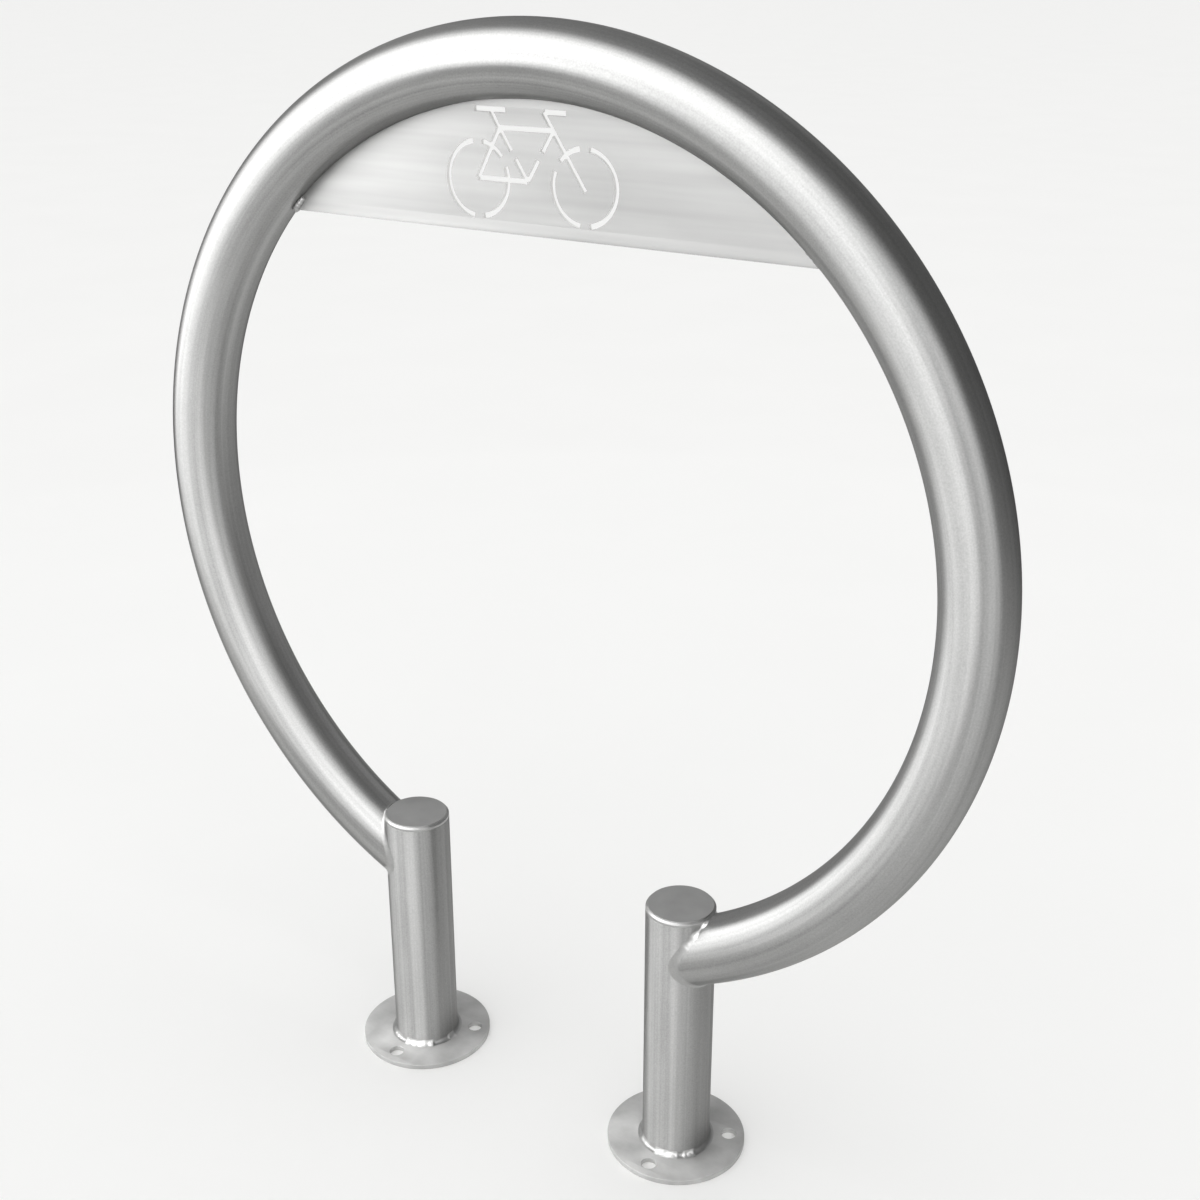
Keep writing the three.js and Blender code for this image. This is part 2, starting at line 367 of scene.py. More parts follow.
def weld_surface_tree():
    """Weld metal laid on a smooth fillet: rippled lumps where it was left raw.

    The fillet's points hold run, the metres along the weld, across, from 0 at one toe to 1 at the
    other, and raw, from 0 where it is ground smooth to 1 where the bead was left as laid. The
    ripples drift by up to so many of their lengths, so that they aren't even.
    """
    nodes, fillet, size = new_tree("weld_surface", {
        "Pitch": "Float", "Ripple": "Float", "Wander": "Float", "Seed": "Float",
        "Material": "Material",
    })
    most_drift = 3.0
    drifts_per_metre = 70.0
    ripple_middle = 0.55
    lumps_per_metre = 260.0
    lump_seed = 4.0
    raw = named(nodes, "raw")
    crown = (named(nodes, "across") * math.pi).of("SINE")
    run = named(nodes, "run")
    drift = (solid_noise(nodes, drifts_per_metre, size["Seed"]) - 0.5) * most_drift
    phase = run / size["Pitch"] + drift
    ripple = (phase * math.pi).of("SINE").of("ABSOLUTE") - ripple_middle
    uneven = (solid_noise(nodes, lumps_per_metre, size["Seed"] + lump_seed) - 0.5) * 2
    height = raw * crown * (size["Ripple"] * ripple + size["Wander"] * uneven)
    lumpy = pushed_out(nodes, fillet, height)
    return end_tree(nodes, lumpy, size["Material"])


def solid_noise(nodes, scale, seed):
    texture = nodes.add("ShaderNodeTexNoise", noise_dimensions="4D")
    texture.inputs["Scale"].default_value = scale
    texture.inputs["Detail"].default_value = 2.0
    nodes.feed(texture.inputs["W"], seed)
    return Sum(nodes, texture.outputs[0])


def pushed_out(nodes, geometry, height):
    """Moves points along their normals and shades the result smooth."""
    normal = nodes.add("GeometryNodeInputNormal")
    offset = nodes.add("ShaderNodeVectorMath", operation="SCALE")
    nodes.feed(offset.inputs[0], normal.outputs[0])
    nodes.feed(offset.inputs["Scale"], height)
    moved = nodes.call(
        "GeometryNodeSetPosition", {"Geometry": geometry, "Offset": offset.outputs[0]})
    return nodes.call("GeometryNodeSetShadeSmooth", {"Geometry": moved})


# Meshes made point by point

def sharpen(mesh, degrees):
    """Keeps the edges that turn more than an angle sharp in smooth shading."""
    mesh.set_sharp_from_angle(angle=math.radians(degrees))


def clean_up(bm):
    """Merges points that coincide and turns all faces outward."""
    bmesh.ops.remove_doubles(bm, verts=bm.verts, dist=merge_distance)
    bmesh.ops.recalc_face_normals(bm, faces=bm.faces)


def rounded(profile, radius, steps=ROUNDING_STEPS):
    """A profile whose marked corners are rounded. Each corner is (radius, height, is_rounded)."""
    result = []
    count = len(profile)
    for i, (r, z, soft) in enumerate(profile):
        if not soft:
            result.append((r, z))
            continue
        here = Vector((r, z))
        before = Vector(profile[i - 1][:2])
        after = Vector(profile[(i + 1) % count][:2])
        start = here + (before - here).normalized() * radius
        end = here + (after - here).normalized() * radius
        for k in range(steps + 1):
            t = k / steps
            point = start * (1 - t) ** 2 + here * 2 * t * (1 - t) + end * t ** 2
            result.append((point.x, point.y))
    return result


def turned(name, x, profile, material, sides=POST_SIDES):
    """Turns a profile of (radius, height) corners, listed anticlockwise, about a post's axis."""
    bm = bmesh.new()
    uv = bm.loops.layers.uv.new("UVMap")
    straight = bm.verts.layers.float_vector.new("straight")
    on_axis = profile[0][0] == 0
    rows = profile if on_axis else profile + profile[:1]
    run = [0.0]
    for (r0, z0), (r1, z1) in zip(rows, rows[1:]):
        run.append(run[-1] + math.hypot(r1 - r0, z1 - z0))
    for i, ((r0, z0), (r1, z1)) in enumerate(zip(rows, rows[1:])):
        for k in range(sides):
            a0, a1 = TURN * k / sides, TURN * (k + 1) / sides
            corners = [(r0, z0, a0, run[i]), (r0, z0, a1, run[i]),
                       (r1, z1, a1, run[i + 1]), (r1, z1, a0, run[i + 1])]
            if r0 == 0:
                corners.pop(0)
            elif r1 == 0:
                corners.pop()
            verts = []
            for r, z, a, _ in corners:
                vert = bm.verts.new((x + r * math.cos(a), r * math.sin(a), z))
                vert[straight] = Vector((z, r * math.cos(a), r * math.sin(a)))
                verts.append(vert)
            face = bm.faces.new(verts)
            face.smooth = True
            for loop, (_, _, a, distance) in zip(face.loops, corners):
                loop[uv].uv = (distance, a * post_radius)
    clean_up(bm)
    mesh = bpy.data.meshes.new(name)
    bm.to_mesh(mesh)
    bm.free()
    mesh.materials.append(material)
    sharpen(mesh, SHARP_TURNED)
    return placed(name, mesh)


def circle(radius, sides, x=0.0, y=0.0):
    return [(x + radius * math.cos(TURN * k / sides), y + radius * math.sin(TURN * k / sides))
            for k in range(sides)]


def sheet(name, loops, thickness, edge):
    """A flat piece in the XY plane, centred on it, from its outline and holes, with soft edges."""
    curve = bpy.data.curves.new(name, "CURVE")
    curve.dimensions = "2D"
    curve.fill_mode = "BOTH"
    curve.extrude = thickness / 2 - edge
    curve.bevel_depth = edge
    curve.bevel_resolution = 2
    curve.offset = -edge
    for points in loops:
        spline = curve.splines.new("POLY")
        spline.points.add(len(points) - 1)
        for target, (px, py) in zip(spline.points, points):
            target.co = (px, py, 0, 1)
        spline.use_cyclic_u = True
    obj = placed(name + "_outline", curve)
    mesh = plain_mesh(obj)
    bpy.data.objects.remove(obj)
    bm = bmesh.new()
    bm.from_mesh(mesh)
    clean_up(bm)
    bm.to_mesh(mesh)
    bm.free()
    return mesh


def finish_sheet(mesh, material):
    """Smooth shading with sharp edges, and a UV map whose U runs up the piece."""
    mesh.shade_smooth()
    sharpen(mesh, SHARP_SHEET)
    mesh.materials.clear()
    mesh.materials.append(material)
    layer = mesh.uv_layers.get("UVMap") or mesh.uv_layers.new(name="UVMap")
    for loop in mesh.loops:
        x, y, z = mesh.vertices[loop.vertex_index].co
        layer.data[loop.index].uv = (z, x + y)


def wire(name, points, lumps):
    """An open path of points and edges, with how lumpy the weld on it is."""
    edges = [(i, i + 1) for i in range(len(points) - 1)]
    mesh = bpy.data.meshes.new(name)
    mesh.from_pydata(points, edges, [])
    fill_attribute(mesh, "lumps", lumps)
    return mesh


def fill_attribute(mesh, key, value):
    """Gives every point of a mesh the same value under a name."""
    attribute = mesh.attributes.new(key, "FLOAT", "POINT")
    attribute.data.foreach_set("value", [value] * len(mesh.vertices))


# Materials

def new_material(name, colour, metallic, roughness, anisotropy=0.0, edge_tint=1.0):
    material = bpy.data.materials.new(name)
    material.use_nodes = True
    shader = material.node_tree.nodes["Principled BSDF"]
    shader.inputs["Base Color"].default_value = (*colour, 1)
    shader.inputs["Metallic"].default_value = metallic
    shader.inputs["Roughness"].default_value = roughness
    shader.inputs["Anisotropic"].default_value = anisotropy
    shader.inputs["Specular Tint"].default_value = (edge_tint, edge_tint, edge_tint, 1)
    material.diffuse_color = (*colour, 1)
    return material, Nodes(material.node_tree), shader


def noise(nodes, coordinates, scale, detail=2.0, roughness=0.5):
    """Noise with its own scale in each direction, in cycles per metre."""
    mapping = nodes.add("ShaderNodeMapping")
    nodes.feed(mapping.inputs["Vector"], coordinates)
    mapping.inputs["Scale"].default_value = scale
    texture = nodes.add("ShaderNodeTexNoise")
    texture.inputs["Scale"].default_value = 1.0
    texture.inputs["Detail"].default_value = detail
    texture.inputs["Roughness"].default_value = roughness
    nodes.feed(texture.inputs["Vector"], mapping.outputs[0])
    return Sum(nodes, texture.outputs[0])


def spread(nodes, value, low, high):
    """Maps noise from its usual range to the given one."""
    return nodes.call("ShaderNodeMapRange", {
        "Value": value, "From Min": NOISE_RANGE[0], "From Max": NOISE_RANGE[1],
        "To Min": low, "To Max": high})


def grey(nodes, level):
    return nodes.call(
        "ShaderNodeCombineColor", {"Red": level, "Green": level, "Blue": level * BLUE_SHARE})


def grey_between(nodes, value, dark, light):
    return grey(nodes, spread(nodes, value, dark, light))


def follow_uv(nodes, shader):
    """Lays the metal's grain across the UV map's U direction."""
    tangent = nodes.add("ShaderNodeTangent", direction_type="UV_MAP", uv_map="UVMap")
    nodes.feed(shader.inputs["Tangent"], tangent.outputs[0])


def own_attribute(nodes, name, output="Fac"):
    """A value that the mesh itself holds."""
    return nodes.call("ShaderNodeAttribute", {}, output=output, attribute_name=name)


def object_place(nodes):
    return nodes.call("ShaderNodeTexCoord", {}, output="Object")


def bump(nodes, shader, height, depth, strength=1.0):
    node = nodes.add("ShaderNodeBump")
    node.inputs["Strength"].default_value = strength
    node.inputs["Distance"].default_value = depth
    nodes.feed(node.inputs["Height"], height)
    nodes.feed(shader.inputs["Normal"], node.outputs[0])


def satin_tube_steel():
    """Belt-polished tube: fine grain round it, bands, lines and streaks along it, and haze."""
    material, nodes, shader = new_material(
        "satin_tube_steel", (0.42, 0.42, 0.415), 1.0, 0.44, anisotropy=0.9, edge_tint=0.5)
    straight = own_attribute(nodes, "straight", "Vector")
    grain = noise(nodes, straight, (1500, 130, 130), detail=3, roughness=0.6)
    streaks = noise(nodes, straight, (4, 520, 520), detail=3)
    haze = noise(nodes, straight, (9, 22, 22), detail=4, roughness=0.55)
    bands = noise(nodes, straight, (2, 95, 95), detail=1)
    lines = noise(nodes, straight, (1.5, 260, 260), detail=1)
    speckle = noise(nodes, straight, (750, 750, 750), detail=1)
    tone = haze * 0.2 + bands * 0.3 + lines * 0.18 + streaks * 0.12 + speckle * 0.2
    nodes.feed(shader.inputs["Base Color"], grey_between(nodes, tone, 0.27, 0.57))
    worn = haze * 0.5 + grain * 0.2 + streaks * 0.3
    nodes.feed(shader.inputs["Roughness"], spread(nodes, worn, 0.39, 0.49))
    bump(nodes, shader, grain * 0.7 + streaks * 0.3, 0.02 * MM, 0.6)
    follow_uv(nodes, shader)
    return material


def brushed_plate_steel():
    """Sheet brushed parallel to its straight edge. The walls where it was cut are painted pale,
    matt and less metallic, painted light that makes the cut-outs read bright.
    """
    material, nodes, shader = new_material(
        "brushed_plate_steel", (0.34, 0.34, 0.335), 1.0, 0.4, anisotropy=0.85)
    place = object_place(nodes)
    brushing = noise(nodes, place, (14, 60, 2400), detail=3, roughness=0.6)
    broad = noise(nodes, place, (4, 4, 90), detail=2)
    haze = noise(nodes, place, (11, 11, 16), detail=3)
    pale_painted_cut_wall = own_attribute(nodes, "pale_painted_cut_wall")
    # The cut walls get a pale tone, more roughness and less metal: painted light, so that the slots
    # read bright
    tone = spread(nodes, broad * 0.6 + haze * 0.4, 0.3, 0.38) + pale_painted_cut_wall * 0.5
    nodes.feed(shader.inputs["Base Color"], grey(nodes, tone))
    satin = spread(nodes, brushing * 0.4 + haze * 0.6, 0.35, 0.45)
    nodes.feed(shader.inputs["Roughness"], satin + pale_painted_cut_wall * 0.4)
    nodes.feed(shader.inputs["Metallic"], 1.0 - pale_painted_cut_wall * 0.8)
    bump(nodes, shader, brushing, 0.015 * MM, 0.5)
    follow_uv(nodes, shader)
    return material


def ground_cap_steel():
    """Disc ground flat: fine crossed scratches with no one direction."""
    material, nodes, shader = new_material(
        "ground_cap_steel", (0.38, 0.38, 0.375), 1.0, 0.4)
    place = object_place(nodes)
    one_way = noise(nodes, place, (1400, 160, 160), detail=3)
    other_way = noise(nodes, place, (170, 1300, 160), detail=3)
    haze = noise(nodes, place, (40, 40, 40), detail=3)
    scratches = one_way * 0.5 + other_way * 0.5
    nodes.feed(shader.inputs["Base Color"], grey_between(nodes, haze, 0.35, 0.41))
    nodes.feed(shader.inputs["Roughness"], spread(nodes, scratches * 0.5 + haze * 0.5, 0.34, 0.46))
    bump(nodes, shader, scratches, 0.02 * MM, 0.5)
    return material


def flange_steel():
    """Laser-cut flange with a satin face."""
    material, nodes, shader = new_material("flange_steel", (0.57, 0.57, 0.565), 1.0, 0.66)
    place = object_place(nodes)
    lines = noise(nodes, place, (90, 900, 300), detail=3)
    haze = noise(nodes, place, (28, 28, 28), detail=4)
    nodes.feed(shader.inputs["Base Color"], grey_between(nodes, haze, 0.46, 0.68))
    nodes.feed(shader.inputs["Roughness"], spread(nodes, lines * 0.4 + haze * 0.6, 0.6, 0.72))
    bump(nodes, shader, lines, 0.02 * MM, 0.4)
    return material


def weld_steel():
    """Weld metal: bright with fine pits where left raw, satin like the tube where ground."""
    material, nodes, shader = new_material("weld_steel", (0.6, 0.6, 0.59), 1.0, 0.3)
    place = object_place(nodes)
    pits = noise(nodes, place, (1300, 1300, 1300), detail=3)
    haze = noise(nodes, place, (160, 160, 160), detail=3)
    raw = own_attribute(nodes, "raw")
    tone = spread(nodes, haze * 0.5 + pits * 0.5, 0.34, 0.46) + raw * 0.25
    nodes.feed(shader.inputs["Base Color"], grey(nodes, tone))
    nodes.feed(shader.inputs["Roughness"], spread(nodes, haze, 0.4, 0.48))
    bump(nodes, shader, pits, 0.05 * MM, 0.5)
    return material


def pale_floor_paint():
    material, nodes, shader = new_material("pale_floor_paint", (0.94, 0.94, 0.94), 0.0, 0.8)
    shader.inputs["Specular IOR Level"].default_value = 0.1
    mottle = noise(nodes, object_place(nodes), (3, 3, 3), detail=3)
    nodes.feed(shader.inputs["Base Color"], grey_between(nodes, mottle, 0.935, 0.945))
    return material


satin_tube = satin_tube_steel()
brushed_plate = brushed_plate_steel()
ground_cap = ground_cap_steel()
satin_flange = flange_steel()
bright_weld = weld_steel()


# The rack's pieces

def dress(piece, node):
    """Rides a finished piece on the rack in place of its CAD node."""
    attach(piece, "root")
    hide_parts(node)


def make_hoop():
    loop = grown(bent_tube_tree(), "finished_hoop", bpy.data.meshes.new("hoop_base"), **{
        "Loop Radius": hoop_radius, "Tube Radius": tube_radius, "Wall": tube_wall,
        "Loop Height": hoop_height, "Post Offset": post_x, "Post Radius": post_radius + fit_gap,
        "Steps": LOOP_STEPS, "Sides": LOOP_SIDES, "Material": satin_tube,
    })
    sharpen(loop.data, SHARP_CUT)
    dress(loop, "hoop_tube")


def make_post(side_name, x):
    bore = post_radius - tube_wall
    profile = rounded([
        (bore, flange_top + fit_gap, False),
        (post_radius, flange_top + fit_gap, False),
        (post_radius, post_high.z, True),
        (bore, post_high.z, False),
    ], rim_round)
    post = turned(f"finished_{side_name}_post", x, profile, satin_tube)
    dress(post, f"{side_name}_post")


def make_cap(side_name, x):
    profile = rounded([
        (0.0, cap_low.z, False),
        (cap_radius, cap_low.z, False),
        (cap_radius, cap_high.z, True),
        (0.0, cap_high.z, False),
    ], rim_round)
    cap = turned(f"finished_{side_name}_cap", x, profile, ground_cap)
    dress(cap, f"{side_name}_cap")


def make_flange(side_name, x):
    bolt_circle = flange_radius - bolt_edge_distance
    loops = [circle(flange_radius, FLANGE_SIDES)]
    for k in range(bolt_count):
        angle = first_bolt_angle + TURN * k / bolt_count
        loops.append(circle(
            bolt_hole_radius, HOLE_SIDES,
            bolt_circle * math.cos(angle), bolt_circle * math.sin(angle)))
    mesh = sheet(f"finished_{side_name}_flange", loops, flange_top, sheet_edge)
    for vertex in mesh.vertices:
        vertex.co += Vector((x, 0, flange_top / 2))
    finish_sheet(mesh, satin_flange)
    flange = placed(f"finished_{side_name}_flange", mesh)
    dress(flange, f"{side_name}_flange")


def ribbon(points, width, depth):
    """A stroke of the bicycle as a closed solid across the plate, in X and Z."""
    bm = bmesh.new()
    left, right = [], []
    count = len(points)
    for i, point in enumerate(points):
        before = Vector(points[max(i - 1, 0)])
        after = Vector(points[min(i + 1, count - 1)])
        way = (after - before).normalized()
        across = Vector((-way.y, way.x)) * width / 2
        left.append(Vector(point) + across)
        right.append(Vector(point) - across)
    outline = left + right[::-1]
    front = [bm.verts.new((p.x, -depth / 2, p.y)) for p in outline]
    back = [bm.verts.new((p.x, depth / 2, p.y)) for p in outline]
    for i in range(count - 1):
        j = 2 * count - 1 - i
        bm.faces.new((front[i], front[i + 1], front[j - 1], front[j]))
        bm.faces.new((back[j], back[j - 1], back[i + 1], back[i]))
    for i in range(2 * count):
        j = (i + 1) % (2 * count)
        bm.faces.new((front[j], front[i], back[i], back[j]))
    bmesh.ops.recalc_face_normals(bm, faces=bm.faces)
    return bm


def between(start, end, share):
    return tuple(a + (b - a) * share for a, b in zip(start, end))


def bridged(start, end):
    """Two strokes in one line, parted at the middle."""
    half = TUBE_BRIDGE / 2 / math.dist(start, end)
    return [(start, between(start, end, 0.5 - half)), (between(start, end, 0.5 + half), end)]


def wheel_arcs(side):
    """A wheel's three strokes, parted at the top, at the foot and towards the other wheel."""
    inward = math.pi - INNER_BRIDGE if side > 0 else INNER_BRIDGE
    stops = sorted([math.pi / 2, 1.5 * math.pi, inward])
    short = WHEEL_BRIDGE / 2 / WHEEL_RADIUS
    arcs = []
    for start, end in zip(stops, stops[1:] + [stops[0] + TURN]):
        steps = round(math.degrees(end - start) / WHEEL_STEP_DEGREES)
        sweep = end - start - 2 * short
        angles = [start + short + sweep * k / steps for k in range(steps + 1)]
        arcs.append([(side * WHEEL_X + WHEEL_RADIUS * math.cos(a), WHEEL_RADIUS * math.sin(a))
                     for a in angles])
    return arcs


def bicycle_strokes():
    straight = [SADDLE, (SADDLE_STEM, SEAT), (SEAT, HEAD), (STEM_TOP, HANDLEBAR_END),
                (STEM_TOP, FRONT_AXLE), (SEAT, REAR_AXLE), (REAR_AXLE, BRACKET)]
    straight += bridged(SEAT, BRACKET) + bridged(HEAD, BRACKET)
    return straight + wheel_arcs(-1) + wheel_arcs(1)


def joined(name, meshes):
    """One mesh object from several bmeshes."""
    whole = bmesh.new()
    for part in meshes:
        copy = bpy.data.meshes.new("part")
        part.to_mesh(copy)
        part.free()
        whole.from_mesh(copy)
        bpy.data.meshes.remove(copy)
    mesh = bpy.data.meshes.new(name)
    whole.to_mesh(mesh)
    whole.free()
    return placed(name, mesh)


def make_plate():
    radius = hoop_radius - tube_radius - fit_gap
    drop = plate_low.z - hoop_height
    corner = math.acos(drop / radius)
    arc = []
    for k in range(2 * PLATE_HALF_ARC_STEPS + 1):
        angle = corner * (1 - k / PLATE_HALF_ARC_STEPS)
        arc.append((radius * math.sin(angle), radius * math.cos(angle)))
    mesh = sheet("plate_blank", [arc], plate_thickness, plate_edge)
    for vertex in mesh.vertices:
        x, y, z = vertex.co
        vertex.co = (x, -z, y + hoop_height)
    blank = placed("plate_blank", mesh)
    sign_height = plate_low.z + (SIGN_LOWER_MARGIN + WHEEL_RADIUS + STROKE / 2) * MM
    cutter_depth = 3 * plate_thickness
    solids = []
    for points in bicycle_strokes():
        metres = [(px * MM, pz * MM + sign_height) for px, pz in points]
        solids.append(ribbon(metres, STROKE * MM, cutter_depth))
    cutter = joined("bicycle_cutter", solids)
    cut = blank.modifiers.new("cut", "BOOLEAN")
    cut.object = cutter
    cut.solver = "EXACT"
    cut.use_self = True
    finished = plain_mesh(blank)
    bpy.data.objects.remove(blank)
    bpy.data.objects.remove(cutter)
    finish_sheet(finished, brushed_plate)
    least_slope = 0.1
    # Marks the walls of the cut, which the plate's material paints pale as painted light
    is_wall = [float(abs(face.normal.y) < least_slope) for face in finished.polygons]
    pale_painted_cut_wall = finished.attributes.new("pale_painted_cut_wall", "FLOAT", "FACE")
    pale_painted_cut_wall.data.foreach_set("value", is_wall)
    plate = placed("finished_sign_plate", finished)
    dress(plate, "sign_plate")


# Welds

# Where the beads were left as laid: from and to, in degrees about the post from the front to the
# right, and how raw each stretch is, from 0 to 1
RAW_AT_FOOT = {
    "left": ((-37, -14, 0.4), (-2, 50, 1.0), (80, 96, 0.7)),
    "right": ((-45, -20, 0.35), (-6, 33, 0.9), (42, 62, 0.9)),
}
# The same for the joint, in degrees about the loop's tube from its underside by the front
RAW_AT_JOINT = {
    "left": ((138, 150, 0.2), (156, 166, 0.3)),
    "right": ((120, 128, 0.35), (136, 145, 0.7), (154, 166, 0.9)),
}
# The beads at the plate's corners: radius and how much they wander, in millimetres
BEAD_AT_PLATE = {"left": (2.8, 2.4), "right": (1.7, 0.8)}
# Their length on each face of the plate and their distance from its middle, in millimetres, how far
# they stand off the loop as a share of their radius, what share of their length turns the corner,
# and how lumpy they are
BEAD_LENGTH = 17
BEAD_OUT = 0.9
BEAD_STANDOFF = 0.75
BEAD_CORNER_SHARE = 0.25
BEAD_LUMPS = 0.8

# The foot weld's legs, in millimetres, and what they gain where it is raw
FOOT_LEG = 4.0
FOOT_GAIN_RAW = 1.2

# The joint's fillet, in millimetres: its least size, what it gains under the tube, at the front and
# back and where it is raw, and how far below the cap's top it stays
SADDLE_LEAST = 1.2
SADDLE_GAIN_BELOW = 0.3
SADDLE_GAIN_BESIDE = 3.2
SADDLE_GAIN_RAW = 1.4
SADDLE_BELOW_CAP = 0.5
# How many times as far it reaches on the loop as on the post
SADDLE_LOOP_REACH = 1.2

# The cap's ring of weld, in millimetres below the cap's top, and how raw it is
CAP_WELD_SHOULDER = 2.4
CAP_WELD_TOP = 0.9
CAP_WELD_RAW = 0.15

# How full a fillet is where it is ground, from 0 for hollow to 1 for flat, and what it gains raw
GROUND_FULLNESS = 0.04
RAW_FULLNESS = 0.3

# Which part of the noise each kind of weld takes. The right side's is 1 further on.
FOOT_SEED = 3.1
CAP_SEED = 7.4
SADDLE_SEED = 11.9
PLATE_SEED = 17.3


def rawness(stretches, angle, blend=5.0):
    """How raw a bead is at an angle, easing in and out at the ends of each stretch."""
    level = 0.0
    for start, end, raw in stretches:
        inside = min(angle - start, end - angle) / blend + 0.5
        ease = min(max(inside, 0.0), 1.0)
        level = max(level, raw * ease * ease * (3 - 2 * ease))
    return level


def fillet_mesh(name, stations, steps=FILLET_STEPS):
    """A closed ring of weld. Each station is (toe, corner, other toe, raw)."""
    bm = bmesh.new()
    layers = {key: bm.verts.layers.float.new(key) for key in ("run", "across", "raw")}
    rings = []
    run = 0.0
    before = stations[0][1]
    for toe, corner, other, raw in stations:
        run += (corner - before).length
        before = corner
        fullness = GROUND_FULLNESS + RAW_FULLNESS * raw
        control = corner + ((toe + other) / 2 - corner) * fullness
        ring = []
        for k in range(steps + 1):
            t = k / steps
            vert = bm.verts.new(toe * (1 - t) ** 2 + control * 2 * t * (1 - t) + other * t ** 2)
            vert[layers["across"]] = t
            ring.append(vert)
        ring.append(bm.verts.new(corner))
        for vert in ring:
            vert[layers["run"]] = run
            vert[layers["raw"]] = raw
        rings.append(ring)
    for i, ring in enumerate(rings):
        following = rings[(i + 1) % len(rings)]
        for k in range(len(ring)):
            j = (k + 1) % len(ring)
            bm.faces.new((ring[k], ring[j], following[j], following[k]))
    bmesh.ops.recalc_face_normals(bm, faces=bm.faces)
    mesh = bpy.data.meshes.new(name)
    bm.to_mesh(mesh)
    bm.free()
    return mesh


def make_weld(node, base, tree, **sizes):
    weld = grown(tree, f"finished_{node}", base, Material=bright_weld, **sizes)
    sharpen(weld.data, SHARP_WELD)
    dress(weld, node)


def make_foot_weld(side_name, x, seed):
    inner = post_radius + fit_gap
    floor_level = flange_top + fit_gap
    stations = []
    for k in range(FOOT_WELD_STATIONS):
        turn = 180 - 360 * k / FOOT_WELD_STATIONS
        angle = math.radians(turn - 90)
        way = Vector((math.cos(angle), math.sin(angle), 0))
        axis = Vector((x, 0, floor_level))
        raw = rawness(RAW_AT_FOOT[side_name], turn)
        leg = (FOOT_LEG + FOOT_GAIN_RAW * raw) * MM
        corner = axis + way * inner
        toe = corner + way * leg
        other = corner + Vector((0, 0, leg))
        stations.append((toe, corner, other, raw))
    make_weld(f"{side_name}_foot_weld", fillet_mesh("foot", stations), weld_surface, **{
        "Pitch": 8 * MM, "Ripple": 0.65 * MM, "Wander": 0.7 * MM, "Seed": seed})


def make_cap_weld(side_name, x, seed):
    """The ring of weld on the post's rim, dressed flush with the post and eased at its edge."""
    inner = cap_radius + weld_lift
    outer = post_radius - weld_lift
    profile = rounded([
        (inner, post_high.z + fit_gap, False),
        (outer, post_high.z + fit_gap, False),
        (outer, cap_high.z - CAP_WELD_SHOULDER * MM, True),
        (inner, cap_high.z - CAP_WELD_TOP * MM, False),
    ], rim_round)
    base = turned(f"{side_name}_cap_ring", x, profile, bright_weld, sides=CAP_WELD_SIDES)
    mesh = base.data
    bpy.data.objects.remove(base)
    for key, value in (("run", 0.0), ("across", 0.5), ("raw", CAP_WELD_RAW)):
        fill_attribute(mesh, key, value)
    weld = grown(weld_surface, f"finished_{side_name}_cap_weld", mesh, **{
        "Pitch": 5 * MM, "Ripple": 0.0, "Wander": 0.5 * MM, "Seed": seed,
        "Material": bright_weld})
    sharpen(weld.data, SHARP_CUT)
    dress(weld, f"{side_name}_cap_weld")


def saddle_point(side, angle):
    """Where the loop's outside meets the post's outside. Angle 0 is under the tube."""
    y = -tube_radius * math.sin(angle)
    reach = post_x + math.sqrt(post_radius ** 2 - y ** 2)
    ring = hoop_radius + tube_radius * math.cos(angle)
    return Vector((side * reach, y, hoop_height - math.sqrt(ring ** 2 - reach ** 2)))


def on_post(side, point):
    """The nearest point of the post's outside."""
    axis = Vector((side * post_x, 0, point.z))
    return axis + (point - axis).normalized() * (post_radius + weld_lift)


def loop_centre(point):
    """The nearest point of the loop's centreline."""
    out = Vector((point.x, 0, point.z - hoop_height)).normalized()
    return out * hoop_radius + Vector((0, 0, hoop_height))


def on_loop(point):
    """The nearest point of the loop's outside."""
    centre = loop_centre(point)
    return centre + (point - centre).normalized() * (tube_radius + weld_lift)


def make_saddle_weld(side_name, side, seed):
    stations = []
    for k in range(SADDLE_WELD_STATIONS):
        turn = -90 + 360 * k / SADDLE_WELD_STATIONS
        angle = math.radians(turn)
        here = saddle_point(side, angle)
        ahead = saddle_point(side, angle + 0.001) - saddle_point(side, angle - 0.001)
        from_post = here - Vector((side * post_x, 0, here.z))
        from_loop = here - loop_centre(here)
        down_post = ahead.cross(from_post).normalized()
        if down_post.dot(from_loop) < 0:
            down_post.negate()
        out_loop = ahead.cross(from_loop).normalized()
        if out_loop.dot(from_post) < 0:
            out_loop.negate()
        raw = rawness(RAW_AT_JOINT[side_name], turn, blend=7.0)
        # wide at the front and back, and narrow over the top, where the post ends at its cap
        size = MM * (
            SADDLE_LEAST + SADDLE_GAIN_BELOW * math.cos(angle)
            + SADDLE_GAIN_BESIDE * abs(math.sin(angle)) ** 1.5 + SADDLE_GAIN_RAW * raw)
        toe = on_post(side, here + down_post * size)
        toe.z = min(toe.z, cap_high.z - SADDLE_BELOW_CAP * MM)
        other = on_loop(here + out_loop * size * SADDLE_LOOP_REACH)
        stations.append((toe, here, other, raw))
    make_weld(f"{side_name}_saddle_weld", fillet_mesh("saddle", stations), weld_surface, **{
        "Pitch": 6 * MM, "Ripple": 0.6 * MM, "Wander": 1.3 * MM, "Seed": seed})


